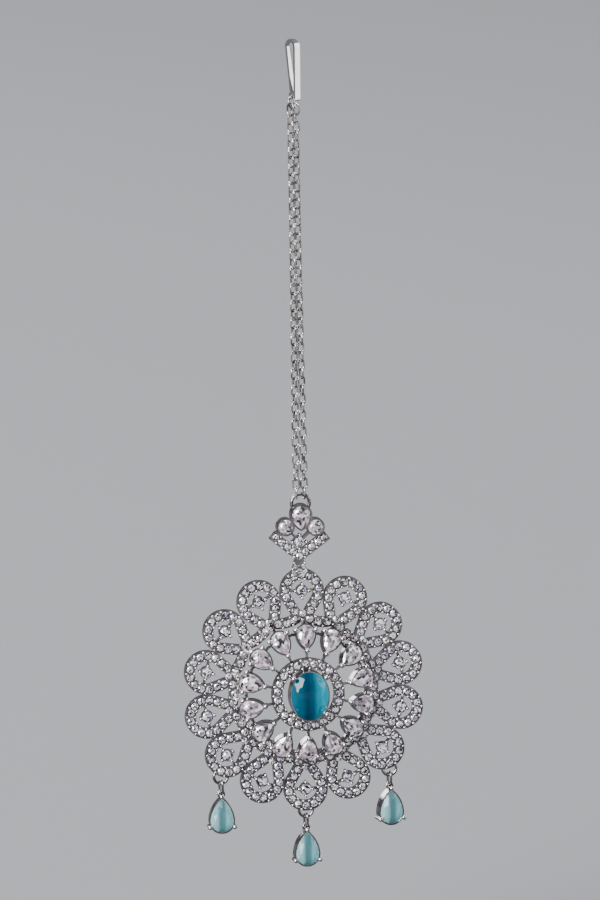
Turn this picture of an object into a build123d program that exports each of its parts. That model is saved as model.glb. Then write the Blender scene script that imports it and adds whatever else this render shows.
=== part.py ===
"""Maang tikka: a domed rosette pendant that hangs from a hair hook on a two-strand chain.

Millimetres. +Z is up, +X is the viewer's right and the jewel faces -Y. The origin is the
inner top of the hair hook, where it hangs. Depths are measured toward the viewer.
"""
from build123d import *
from math import acos, asin, atan2, cos, degrees, hypot, pi, radians, sin, sqrt, tan
import os

os.makedirs("parts", exist_ok=True)

# ---- running gaps -------------------------------------------------------------------------
loose_gap = 0.12            # between pieces that hang in each other
seat_gap = 0.04             # between a stone and the wall round it
through = 8.0               # a cut of this depth leaves nothing in front of its start

# ---- hair hook and its jump ring ----------------------------------------------------------
hook_strip = 0.6            # thickness of the flattened wire
hook_bend_radius = 1.3      # centre line of the bend at the top
hook_front_width = 1.5
hook_back_width = 0.6
hook_length = 11.16         # inner top down to the centre of the eye
hook_free_length = 11.9     # the front leg is free and ends here
hook_free_foot = 1.15       # how far in front of the eye it ends
hook_turn = 38.0            # the hook and the top of the chain are turned by this angle
eye_hole = 0.46
eye_wall = 0.36
eye_width = 0.56
ring_wire = 0.4
ring_radius = 1.25
hook_trim = 20.0            # the hook's outline is trimmed over this height

# ---- chain --------------------------------------------------------------------------------
link_count = 46
link_wire = 0.38
link_width = 1.7
link_length = 2.657
end_link_width = 2.1
end_link_length = 2.96
strand_offset = 0.81        # each strand hangs this far beside the centre line
first_offset = 0.7          # the first link stands closer in, inside the hook ring
second_offset = 0.74
right_link_turn = 18.0      # the right strand's first five links turn, each by this much
left_link_turn = 21.0       # the left strand's last four links turn, each by this much

# ---- bail ring and crown ------------------------------------------------------------------
bail_wire = 0.75
bail_radius = 1.875
bail_over_crown = 12.58     # bail ring's centre above the point of the V
crown_shift = -0.45         # the point of the V stands this far beside the centre line
crown_back = -1.4
crown_front = 0.2
vee_half_width = 6.4
vee_rise = 5.0
vee_bar = 2.0
crown_pear_radius = 1.95
crown_pear_tip = 2.95
crown_pear_up = 10.25
crown_pear_floor = 0.4
crown_pear_rim = 1.75
crown_round_radius = 1.55
crown_round_place = (3.15, 7.62)
crown_round_rim = 1.15
crown_small_up = 4.37
crown_wall = 0.36
crown_round_back = -1.0
crown_pear_back = -0.6
crown_post = (1.35, -1.3)   # a post under each round bezel, from the bezel's centre
crown_post_radius = 0.5
crown_arm_length = 3.2
crown_arm_turn = 45.0
crown_stem_length = 1.4
crown_stem_under = 1.6      # the stem's middle under the small stone's centre
vee_channel_short = 0.9     # the V's channel is this much shorter than its bar
vee_channel_half = 0.725
vee_channel_shift = 0.1
neck_top_width = 1.9
neck_foot_width = 3.5
neck_height = 3.4
neck_rise = 0.5
neck_hole = 0.32
neck_hole_down = 0.75

# ---- rosette ------------------------------------------------------------------------------
petal_count = 14
petal_at = 20.95            # centre of a petal's round end from the rosette's centre
petal_radius = 4.62
petal_opening_radius = 2.5
petal_opening_tip = 0.5
petal_opening_spread = 3.8
rosette_under_crown = 26.95
rosette_back = -1.4
rosette_front = 0.2
scallop_at = 20.55          # the scallops are arcs round these points, between the petals
scallop_inner = 6.95
scallop_outer = 4.85
scallop_cusp = 14.8
scallop_field = 17.0
channel_half = 0.8          # half width of the channel that holds the pave stones
channel_depth = 0.5
field_border = 0.5          # metal left beyond the channel where the scallops meet the petals
cusp_border = 0.55          # and at the points of the scallops
cusp_strut_at = 14.4        # a post stands on each scallop point and carries its pear cup
cusp_strut_length = 1.9
cusp_strut_height = 2.5

# ---- four-claw settings -------------------------------------------------------------------
small_stone_radius = 1.1
small_claw_at = 1.44
small_claw_radius = 0.28
small_cup_radius = 1.3
small_cup_hole = 0.95
small_cup_back = -1.1
small_cup_front = -0.35
small_claw_front = 0.5
small_girdle = 0.05
strut_width = 0.5
strut_end = 0.2             # how far a petal's cross strut runs into the petal

# ---- pear settings ------------------------------------------------------------------------
pear_shoulder = 5.0         # the round end of every pear runs this far past its widest place
pear_at = 12.65             # centre of a pear's round end from the rosette's centre
pear_depth = 4.0
pear_lean = 18.0            # the pears follow the slope of the dome
pear_radius = 1.88
pear_tip = 3.15             # from the round end's centre to the stone's tip
pear_wall = 0.27
pear_cup_depth = 1.6
pear_rim = 0.12
pear_claw_radius = 0.33
pear_claw_at = 2.24
pear_claw_angle = 70.0
pear_tip_claw_at = 3.62
pear_claw_rise = 0.65
bar_width = 0.55            # a bar ties each pear cup to the next
bar_length = 1.1
bar_out = 0.6               # the bar's middle from the stone's side
bar_depth = 1.4
bar_height = 0.6

# ---- inner ring and centre stone ----------------------------------------------------------
inner_ring_outer = 7.65
inner_ring_hole = 5.5
inner_ring_back = 4.0
inner_ring_front = 5.6
ring_strut_reach = 9.5      # struts run from the inner ring out to this radius
ring_strut_lift = 0.15
ring_strut_height = 0.6
ring_strut_bite = 0.2
oval_half_width = 3.95
oval_half_height = 5.12
oval_wall = 0.25
oval_back = 4.4
oval_rim = 7.5
oval_girdle = 7.4
oval_claw_radius = 0.45
oval_claw_place = (3.45, 3.9)
oval_claw_front = 8.4

# ---- drops --------------------------------------------------------------------------------
staple_wire = 0.6
staple_radius = 1.45
staple_depth = -0.6
drop_link_wire = 0.5
drop_link_width = 2.0
drop_link_length = 3.3
loop_wire = 0.45
loop_radius = 0.62
drop_radius = 2.43
drop_tip = 4.7
drop_wall = 0.28
drop_tip_wall = 0.35        # metal over the stone's tip
drop_bite = 0.35            # how far the hanging loop runs into that metal
drop_gap = 0.1              # between the staple, the link and the loop
drop_link_turn = 107.0      # nearly edge-on
drop_back = -1.7
drop_rim = 0.6
drop_girdle = 0.5
drop_tip_claw_back = 0.47
drop_claw_radius = 0.38
drop_claw_at = 2.87
drop_claw_angle = 64.0
drop_tip_claw_at = 5.16
drop_claw_front = 1.15
# name, x and z of the staple from the rosette's centre, turn of the drop about the vertical
drops = [
    ("left", -17.8, -17.6, -3.0),
    ("middle", 0.0, -25.5, 2.0),
    ("right", 17.8, -17.6, 9.0),
]


# ---- shapes that several pieces use -------------------------------------------------------
def facing(height, depth, x=0.0, turn=0.0):
    """A plane that faces the viewer at this height and depth, turned about the vertical."""
    spin = radians(turn)
    return Plane(origin=(x, -depth, height), x_dir=(cos(spin), sin(spin), 0),
                 z_dir=(sin(spin), -cos(spin), 0))


def moved(plane, x, y):
    """The plane with its origin moved within itself."""
    return Plane(origin=plane.from_local_coords(Vector(x, y, 0)), x_dir=plane.x_dir,
                 z_dir=plane.z_dir)


def crown_plane(depth):
    """The crown's own plane: its origin is the point of the V, its Y runs to the bail ring."""
    lean = atan2(-crown_shift, bail_over_crown)
    return Plane(origin=(crown_shift, -depth, crown_z), x_dir=(cos(lean), 0, -sin(lean)),
                 z_dir=(0, -1, 0))


def pear_plane(number, height):
    """The plane of one pear of the rosette, X running outward down the slope of the dome."""
    angle = radians(90 - number * 360 / petal_count)
    lean = radians(pear_lean)
    outward = Vector(cos(angle), 0, sin(angle))
    front = Vector(0, -1, 0)
    centre = Vector(0, 0, rosette_z) + outward * pear_at + front * pear_depth
    normal = front * cos(lean) + outward * sin(lean)
    slope = outward * cos(lean) - front * sin(lean)
    return Plane(origin=centre + normal * height, x_dir=slope, z_dir=normal)


def drop_plane(x, height, depth, turned):
    """A drop's plane: the drop turns about the loop it hangs by, at the staple's depth."""
    spin = radians(turned)
    reach = depth - staple_depth
    return Plane(origin=(x + reach * sin(spin), -staple_depth - reach * cos(spin), height),
                 x_dir=(cos(spin), sin(spin), 0), z_dir=(sin(spin), -cos(spin), 0))


def drop_outline(radius, tip_radius, spread, mode=Mode.ADD):
    """A drop's outline: a round end at the local origin and a rounded tip toward -X."""
    lean = asin((radius - tip_radius) / spread)
    shoulder = (-radius * sin(lean), radius * cos(lean))
    tip = (-spread - tip_radius * sin(lean), tip_radius * cos(lean))
    turn = degrees(lean)
    with BuildLine() as outline:
        CenterArc((0, 0), radius, -90 - turn, 180 + 2 * turn)
        Line(shoulder, tip)
        CenterArc((-spread, 0), tip_radius, 90 + turn, 180 - 2 * turn)
        Line((tip[0], -tip[1]), (shoulder[0], -shoulder[1]))
    make_face(outline.line, mode=mode)


def side_reach(radius, tip):
    """How far the centres of a pear's side arcs stand from its round end's centre."""
    return (tip ** 2 - radius ** 2) / (2 * (radius - tip * sin(radians(pear_shoulder))))


def side_end(radius, reach):
    """Where a side arc of this pear meets its axis, as an angle round the arc's centre."""
    drop = reach * cos(radians(pear_shoulder))
    return degrees(acos(-sqrt(1 - (drop / (radius + reach)) ** 2)))


def pear_shape(radius, tip, grow):
    """A pear's outline, grown all round: curved sides that meet in a tip toward -X."""
    reach = side_reach(radius, tip)
    start = 90 + pear_shoulder
    run = side_end(radius + grow, reach) - start
    centre = (reach * sin(radians(pear_shoulder)), reach * cos(radians(pear_shoulder)))
    with BuildLine() as outline:
        CenterArc((0, 0), radius + grow, -start, 2 * start)
        CenterArc((centre[0], -centre[1]), radius + grow + reach, start, run)
        CenterArc(centre, radius + grow + reach, -start - run, run)
    make_face(outline.line)


def pear_points(radius, tip, round_corners, side_corners):
    """Corners of a faceted pear: its tip, one side, the round end and the other side."""
    reach = side_reach(radius, tip)
    start = 90 + pear_shoulder
    run = side_end(radius, reach) - start
    centre = (reach * sin(radians(pear_shoulder)), -reach * cos(radians(pear_shoulder)))
    side = []
    for corner in range(side_corners):
        angle = radians(start + run * (1 - (corner + 1) / (side_corners + 1)))
        side.append((centre[0] + (radius + reach) * cos(angle),
                     centre[1] + (radius + reach) * sin(angle)))
    turns = [radians(start * (1 - 2 * corner / (round_corners - 1)))
             for corner in range(round_corners)]
    round_end = [(radius * cos(turn), radius * sin(turn)) for turn in turns]
    return [(-tip, 0)] + side + round_end + [(x, -y) for x, y in reversed(side)]


def oval_points(half_width, half_height, sides):
    """Corners of a faceted oval, with a flat at its top, bottom and sides."""
    turns = [2 * pi * (corner + 0.5) / sides for corner in range(sides)]
    return [(half_width * cos(turn), half_height * sin(turn)) for turn in turns]


def facet_stone(plane, outline, levels):
    """A cut stone: its outline at each (scale, height), joined by flat facets."""
    sections = []
    for scale, height in levels:
        with BuildSketch(plane.offset(height)) as section:
            with BuildLine():
                Polyline(*[(x * scale, y * scale) for x, y in outline], close=True)
            make_face()
        sections.append(section.sketch)
    loft(sections, ruled=True)


def wire_loop(plane, radius, wire):
    """A round wire ring that lies in the plane, centred on its origin."""
    start = plane.from_local_coords(Vector(radius, 0, 0))
    with BuildLine(plane) as loop_path:
        CenterArc((0, 0), radius, 0, 360)
    with BuildSketch(Plane(origin=start, x_dir=plane.x_dir, z_dir=plane.y_dir)) as section:
        Circle(wire / 2)
    sweep(section.sketch, path=loop_path.line)


def oval_link(plane, width, length, wire):
    """A long link of round wire in the plane, its length along the plane's Y."""
    radius = (width - wire) / 2
    straight = (length - width) / 2
    with BuildLine(plane) as link_path:
        Line((radius, -straight), (radius, straight))
        CenterArc((0, straight), radius, 0, 180)
        Line((-radius, straight), (-radius, -straight))
        CenterArc((0, -straight), radius, 180, 180)
    start = plane.from_local_coords(Vector(radius, -straight, 0))
    with BuildSketch(Plane(origin=start, x_dir=plane.x_dir, z_dir=plane.y_dir)) as section:
        Circle(wire / 2)
    sweep(section.sketch, path=link_path.line)


# ---- heights, worked out from the hook down ------------------------------------------------
eye_z = -hook_length
ring_z = eye_z - (eye_hole - ring_wire / 2 - loose_gap) - ring_radius
ring_reach = ring_radius - ring_wire / 2 - link_wire / 2 - loose_gap
first_wire_z = ring_z - sqrt(ring_reach ** 2 - first_offset ** 2)
link_inside = link_length / 2 - link_wire
end_link_inside = end_link_length / 2 - link_wire
link_pitch = 2 * link_inside - loose_gap
end_pitch = link_inside + end_link_inside - loose_gap
first_link_z = first_wire_z - link_wire / 2 - end_link_inside
last_link_z = first_link_z - 2 * end_pitch - (link_count - 3) * link_pitch

bail_slope = asin(strand_offset / bail_radius)
bail_half_height = bail_wire / 2 / cos(bail_slope) + link_wire / 2 * tan(bail_slope)
swing_z = last_link_z - end_link_inside + loose_gap + bail_half_height
bail_z = swing_z - bail_radius * cos(bail_slope)
crown_z = bail_z - bail_over_crown
rosette_z = crown_z - rosette_under_crown
print(f"bail ring z {bail_z:.3f}, swing axis z {swing_z:.3f}, rosette z {rosette_z:.3f}")

# ---- hair hook ----------------------------------------------------------------------------
turn = radians(hook_turn)
across = Vector(cos(turn), sin(turn), 0)
behind = Vector(-sin(turn), cos(turn), 0)
hook_side = Plane(origin=(0, 0, 0), x_dir=behind, z_dir=across)
hook_above = Plane(origin=(0, 0, hook_strip), x_dir=behind, z_dir=(0, 0, 1))
hook_end = hook_bend_radius + hook_strip
bend_z = hook_strip / 2 - hook_bend_radius

with BuildPart() as hair_hook:
    with BuildSketch(hook_side):
        with BuildLine():
            Line((0, eye_z + eye_hole), (hook_bend_radius, bend_z))
            ThreePointArc((hook_bend_radius, bend_z), (0, bend_z + hook_bend_radius),
                          (-hook_bend_radius, bend_z))
            Line((-hook_bend_radius, bend_z), (-hook_free_foot, -hook_free_length))
        trace(line_width=hook_strip)
        with Locations((-hook_free_foot, -hook_free_length)):
            Circle(hook_strip / 2)
    extrude(amount=hook_front_width / 2, both=True)
    with BuildSketch(hook_above):
        with BuildLine():
            Polyline((-hook_end, hook_front_width / 2), (-hook_bend_radius, hook_front_width / 2),
                     (hook_bend_radius, hook_back_width / 2), (hook_end, hook_back_width / 2),
                     (hook_end, -hook_back_width / 2), (hook_bend_radius, -hook_back_width / 2),
                     (-hook_bend_radius, -hook_front_width / 2), (-hook_end, -hook_front_width / 2),
                     close=True)
        make_face()
    extrude(amount=-hook_trim, mode=Mode.INTERSECT)
    with BuildSketch(hook_side):
        with Locations((0, eye_z)):
            Circle(eye_hole + eye_wall)
    extrude(amount=eye_width / 2, both=True)
    with BuildSketch(hook_side):
        with Locations((0, eye_z)):
            Circle(eye_hole)
    extrude(amount=hook_front_width, both=True, mode=Mode.SUBTRACT)
hair_hook.part.label = "hair_hook"
export_step(hair_hook.part, "parts/hair_hook.step")

with BuildPart() as hook_ring:
    wire_loop(facing(ring_z, 0, turn=hook_turn), ring_radius, ring_wire)
hook_ring.part.label = "hook_ring"
export_step(hook_ring.part, "parts/hook_ring.step")

# ---- chain --------------------------------------------------------------------------------
with BuildPart() as plain_link:
    oval_link(Plane.XZ, link_width, link_length, link_wire)

with BuildPart() as end_link:
    oval_link(Plane.XZ, end_link_width, end_link_length, link_wire)


def strand_places(side):
    """Place of each link of a strand, from the hook ring down to the bail ring."""
    places = []
    offsets = {0: first_offset, 1: second_offset}
    height = first_link_z
    turned = 0.0
    for number in range(link_count):
        along = number / (link_count - 1)
        ribbon = hook_turn * (1 - along ** 2)
        if side > 0 and number < 5:
            turned += right_link_turn
        if side < 0 and number > link_count - 5:
            turned += left_link_turn
        offset = side * offsets.get(number, strand_offset)
        x = offset * cos(radians(ribbon))
        y = offset * sin(radians(ribbon))
        places.append(Location((x, y, height), (0, 0, ribbon + 90 * (number + 1) + turned)))
        at_end = number in (0, link_count - 2)
        height -= end_pitch if at_end else link_pitch
    return places


for strand_name, side in (("chain_left", -1), ("chain_right", 1)):
    places = strand_places(side)
    with BuildPart() as strand:
        with Locations(*places[1:-1]):
            add(plain_link.part)
        with Locations(places[0], places[-1]):
            add(end_link.part)
    strand.part.label = strand_name
    export_step(strand.part, f"parts/{strand_name}.step")

# ---- flat outlines of the pendant ---------------------------------------------------------
petal_wall = petal_radius - petal_opening_radius
channel_middle = (petal_radius + petal_opening_radius) / 2
scallop_middle = (scallop_inner + scallop_outer) / 2
rosette_places = PolarLocations(petal_at, petal_count, start_angle=90)
scallop_places = PolarLocations(scallop_at, petal_count, start_angle=90 + 180 / petal_count)
tip_channel = petal_opening_tip + petal_wall / 2

with BuildSketch() as petal_outline:
    drop_outline(petal_radius, petal_opening_tip + petal_wall, petal_opening_spread)

with BuildSketch() as petal_opening:
    drop_outline(petal_opening_radius, petal_opening_tip, petal_opening_spread)

with BuildSketch() as petal_channel:
    drop_outline(channel_middle + channel_half, tip_channel + channel_half, petal_opening_spread)
    drop_outline(channel_middle - channel_half, tip_channel - channel_half, petal_opening_spread,
                 mode=Mode.SUBTRACT)

with BuildSketch() as rosette_hole:
    Circle(scallop_cusp)
    with scallop_places:
        Circle(scallop_inner, mode=Mode.SUBTRACT)

with BuildSketch() as rosette_outline:
    Circle(scallop_field)
    with scallop_places:
        Circle(scallop_outer, mode=Mode.SUBTRACT)
    with rosette_places:
        add(petal_outline.sketch)
    add(rosette_hole.sketch, mode=Mode.SUBTRACT)
    with rosette_places:
        add(petal_opening.sketch, mode=Mode.SUBTRACT)

with BuildSketch() as inside_channel:
    Circle(scallop_cusp + cusp_border)
    with scallop_places:
        Circle(scallop_middle + channel_half, mode=Mode.SUBTRACT)

with BuildSketch() as rosette_channel:
    Circle(scallop_field - field_border)
    with scallop_places:
        Circle(scallop_middle - channel_half, mode=Mode.SUBTRACT)
    add(inside_channel.sketch, mode=Mode.SUBTRACT)
    with rosette_places:
        add(petal_channel.sketch)

with BuildSketch() as pear_outline:
    pear_shape(pear_radius, pear_tip, pear_wall)

with BuildSketch() as pear_seat:
    pear_shape(pear_radius, pear_tip, seat_gap)

with BuildSketch() as crown_pear_outline:
    pear_shape(crown_pear_radius, crown_pear_tip, crown_wall)

with BuildSketch() as crown_pear_seat:
    pear_shape(crown_pear_radius, crown_pear_tip, seat_gap)

with BuildSketch() as drop_seat:
    pear_shape(drop_radius, drop_tip, seat_gap)

with BuildSketch() as drop_wall_outline:
    pear_shape(drop_radius, drop_tip, drop_wall)

pear_places = [pear_plane(number, 0) for number in range(petal_count)]
vee_angle = degrees(atan2(vee_rise, vee_half_width))
vee_length = hypot(vee_rise, vee_half_width)
vee_top = (vee_half_width - vee_bar * vee_rise / vee_length,
           vee_rise + vee_bar * vee_half_width / vee_length)
vee_notch = vee_bar * vee_length / vee_half_width
crown_rounds = [(sign * crown_round_place[0], crown_round_place[1]) for sign in (1, -1)]
crown_pear_place = Location((0, crown_pear_up), 90)
mirrored = (1, -1)


def claw_points(at, angles):
    """Claw centres at one distance from a stone's centre."""
    return [(at * cos(radians(angle)), at * sin(radians(angle))) for angle in angles]


pear_claws = [(-pear_tip_claw_at, 0)] + claw_points(pear_claw_at, (pear_claw_angle, -pear_claw_angle))
drop_claws = claw_points(drop_claw_at, (drop_claw_angle, -drop_claw_angle))

# ---- everything that is soldered together -------------------------------------------------
with BuildPart() as medallion_frame:
    # the flat pierced rosette, with a channel for its pave stones
    with BuildSketch(facing(rosette_z, rosette_back)):
        add(rosette_outline.sketch)
    extrude(amount=rosette_front - rosette_back)
    with BuildSketch(facing(rosette_z, rosette_front - channel_depth)):
        add(rosette_channel.sketch)
    extrude(amount=through, mode=Mode.SUBTRACT)

    # fourteen small cups on their struts, with four claws each
    with BuildSketch(facing(rosette_z, small_cup_back)):
        with rosette_places:
            Rectangle(strut_width, 2 * (petal_opening_radius + strut_end))
            Circle(small_cup_radius)
    extrude(amount=small_cup_front - small_cup_back)
    with BuildSketch(facing(rosette_z, small_cup_back)):
        with rosette_places:
            with Locations(*claw_points(small_claw_at, (0, 90, 180, 270))):
                Circle(small_claw_radius)
    extrude(amount=small_claw_front - small_cup_back)
    with BuildSketch(facing(rosette_z, small_cup_back)):
        with rosette_places:
            Circle(small_cup_hole)
    extrude(amount=through, mode=Mode.SUBTRACT)

    # the inner ring, tied to the pears by fourteen struts
    with BuildSketch(facing(rosette_z, inner_ring_back)):
        Circle(inner_ring_outer)
        Circle(inner_ring_hole, mode=Mode.SUBTRACT)
    extrude(amount=inner_ring_front - inner_ring_back)
    with BuildSketch(facing(rosette_z, inner_ring_front - channel_depth)):
        Circle((inner_ring_outer + inner_ring_hole) / 2 + channel_half)
        Circle((inner_ring_outer + inner_ring_hole) / 2 - channel_half, mode=Mode.SUBTRACT)
    extrude(amount=through, mode=Mode.SUBTRACT)
    with BuildSketch(facing(rosette_z, inner_ring_back + ring_strut_lift)):
        with PolarLocations((inner_ring_outer + ring_strut_reach - ring_strut_bite) / 2,
                            petal_count, start_angle=90):
            Rectangle(ring_strut_reach - inner_ring_outer + ring_strut_bite, strut_width)
    extrude(amount=ring_strut_height)
    with BuildSketch(facing(rosette_z, rosette_front - channel_depth)):
        with PolarLocations(cusp_strut_at, petal_count, start_angle=90):
            Rectangle(cusp_strut_length, strut_width)
    extrude(amount=cusp_strut_height)

    # fourteen pear cups that lean with the dome, their claws and the bars between them
    with BuildSketch(*[place.offset(-pear_cup_depth) for place in pear_places]):
        add(pear_outline.sketch)
    extrude(amount=pear_cup_depth + pear_rim)
    with BuildSketch(*[place.offset(-pear_cup_depth) for place in pear_places]):
        with Locations(*pear_claws):
            Circle(pear_claw_radius)
    extrude(amount=pear_cup_depth + pear_claw_rise)
    with BuildSketch(*[place.offset(-bar_depth) for place in pear_places]):
        with Locations(*[(0, sign * (pear_radius + bar_out)) for sign in mirrored]):
            Rectangle(bar_width, bar_length)
    extrude(amount=bar_height)
    with BuildSketch(*[place.offset(-pear_cup_depth) for place in pear_places]):
        add(pear_seat.sketch)
    extrude(amount=through, mode=Mode.SUBTRACT)

    # the oval bezel and its four claws
    with BuildSketch(facing(rosette_z, oval_back)):
        Ellipse(oval_half_width + oval_wall, oval_half_height + oval_wall)
    extrude(amount=oval_rim - oval_back)
    with BuildSketch(facing(rosette_z, oval_back)):
        with Locations(*[(x * oval_claw_place[0], y * oval_claw_place[1])
                         for x in mirrored for y in mirrored]):
            Circle(oval_claw_radius)
    extrude(amount=oval_claw_front - oval_back)
    with BuildSketch(facing(rosette_z, oval_back)):
        Ellipse(oval_half_width + seat_gap, oval_half_height + seat_gap)
    extrude(amount=through, mode=Mode.SUBTRACT)

    # the crown: the V, the neck and the arms that carry its stones
    with BuildSketch(crown_plane(crown_back)):
        for sign in mirrored:
            with BuildLine():
                Polyline((0, 0), (sign * vee_half_width, vee_rise),
                         (sign * vee_top[0], vee_top[1]), (0, vee_notch), close=True)
            make_face()
        with BuildLine():
            Polyline((-neck_top_width / 2, neck_rise), (neck_top_width / 2, neck_rise),
                     (neck_foot_width / 2, neck_rise - neck_height),
                     (-neck_foot_width / 2, neck_rise - neck_height), close=True)
        make_face()
        for sign in mirrored:
            with Locations((sign * (crown_round_place[0] + crown_post[0]),
                            crown_round_place[1] + crown_post[1])):
                Circle(crown_post_radius)
            with Locations(Location((sign * crown_round_place[0] / 2,
                                     (crown_round_place[1] + crown_small_up) / 2),
                                    sign * crown_arm_turn)):
                Rectangle(crown_arm_length, strut_width)
        with Locations((0, crown_small_up - crown_stem_under)):
            Rectangle(strut_width, crown_stem_length)
    extrude(amount=crown_front - crown_back)
    with BuildSketch(crown_plane(crown_front - channel_depth)):
        for sign in mirrored:
            with Locations(Location((sign * vee_top[0] / 2,
                                     (vee_rise + vee_notch) / 2 + vee_channel_shift),
                                    sign * vee_angle)):
                Rectangle(vee_length - vee_channel_short, 2 * vee_channel_half)
    extrude(amount=through, mode=Mode.SUBTRACT)
    with BuildSketch(crown_plane(crown_back)):
        with Locations((0, -neck_hole_down)):
            Circle(neck_hole)
    extrude(amount=through, mode=Mode.SUBTRACT)

    # the crown's small cup, its two round bezels and its pear bezel
    with BuildSketch(crown_plane(crown_back)):
        with Locations((0, crown_small_up)):
            Circle(small_cup_radius)
    extrude(amount=small_cup_front - crown_back)
    with BuildSketch(crown_plane(crown_back)):
        with Locations((0, crown_small_up)):
            with Locations(*claw_points(small_claw_at, (0, 90, 180, 270))):
                Circle(small_claw_radius)
    extrude(amount=small_claw_front - crown_back)
    with BuildSketch(crown_plane(crown_back)):
        with Locations((0, crown_small_up)):
            Circle(small_cup_hole)
    extrude(amount=small_claw_front - crown_back, mode=Mode.SUBTRACT)
    with BuildSketch(crown_plane(small_cup_front)):
        with Locations((0, crown_small_up)):
            Circle(small_stone_radius + seat_gap)
    extrude(amount=small_claw_front - small_cup_front, mode=Mode.SUBTRACT)
    with BuildSketch(crown_plane(crown_round_back)):
        with Locations(*crown_rounds):
            Circle(crown_round_radius + crown_wall)
    extrude(amount=crown_round_rim - crown_round_back)
    with BuildSketch(crown_plane(crown_pear_back)):
        with Locations(crown_pear_place):
            add(crown_pear_outline.sketch)
    extrude(amount=crown_pear_rim - crown_pear_back)
    with BuildSketch(crown_plane(crown_back)):
        with Locations(*crown_rounds):
            Circle(crown_round_radius + seat_gap)
    extrude(amount=through, mode=Mode.SUBTRACT)
    with BuildSketch(crown_plane(crown_pear_floor)):
        with Locations(crown_pear_place):
            add(crown_pear_seat.sketch)
    extrude(amount=through, mode=Mode.SUBTRACT)

    # the bail ring behind the pear bezel, and the staples under three petals
    wire_loop(moved(crown_plane(0), 0, bail_over_crown), bail_radius, bail_wire)
    for side, x, z, turn_out in drops:
        wire_loop(facing(rosette_z + z, staple_depth, x), staple_radius, staple_wire)
medallion_frame.part.label = "medallion_frame"
export_step(medallion_frame.part, "parts/medallion_frame.step")

# ---- stones -------------------------------------------------------------------------------
# each cut is a list of (scale of the outline, height over the girdle in stone radii)
brilliant_cut = [(0.15, -0.78), (1, -0.05), (1, 0.05), (0.58, 0.4)]
pear_cut = [(0.15, -0.66), (1, -0.03), (1, 0.03), (0.56, 0.32)]
bezel_pear_cut = [(0.2, -0.54), (1, -0.03), (1, 0.03), (0.56, 0.3)]
domed_cut = [(0.82, -0.3), (1, -0.03), (1, 0.04), (0.9, 0.2), (0.66, 0.37), (0.36, 0.45)]


def cut_levels(cut, radius):
    """The cut's levels in millimetres for a stone of this radius."""
    return [(scale, height * radius) for scale, height in cut]


def place_stone(name, plane, outline, cut, radius):
    """Make one stone and write it under its own name."""
    with BuildPart() as stone:
        facet_stone(plane, outline, cut_levels(cut, radius))
    stone.part.label = name
    export_step(stone.part, f"parts/{name}.step")


small_outline = oval_points(small_stone_radius, small_stone_radius, 8)
round_outline = oval_points(crown_round_radius, crown_round_radius, 10)
pear_outline_points = pear_points(pear_radius, pear_tip, 7, 1)
for number in range(petal_count):
    angle = radians(90 - number * 360 / petal_count)
    petal_plane = moved(facing(rosette_z, small_girdle), petal_at * cos(angle), petal_at * sin(angle))
    place_stone(f"petal_stone_{number + 1:02d}", petal_plane, small_outline, brilliant_cut,
                small_stone_radius)
    place_stone(f"pear_stone_{number + 1:02d}", pear_places[number], pear_outline_points, pear_cut,
                pear_radius)

place_stone("centre_stone", facing(rosette_z, oval_girdle),
            oval_points(oval_half_width, oval_half_height, 20), domed_cut, oval_half_width)
place_stone("crown_small_stone", moved(crown_plane(small_girdle), 0, crown_small_up), small_outline,
            brilliant_cut, small_stone_radius)
for side, sign in (("left", -1), ("right", 1)):
    place_stone(f"crown_{side}_stone",
                moved(crown_plane(crown_round_rim - 0.1), sign * crown_round_place[0],
                      crown_round_place[1]),
                round_outline, brilliant_cut, crown_round_radius)
crown_pear_points = [(-y, x) for x, y in pear_points(crown_pear_radius, crown_pear_tip, 7, 1)]
place_stone("crown_pear_stone", moved(crown_plane(crown_pear_rim - 0.15), 0, crown_pear_up),
            crown_pear_points, bezel_pear_cut, crown_pear_radius)

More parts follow.
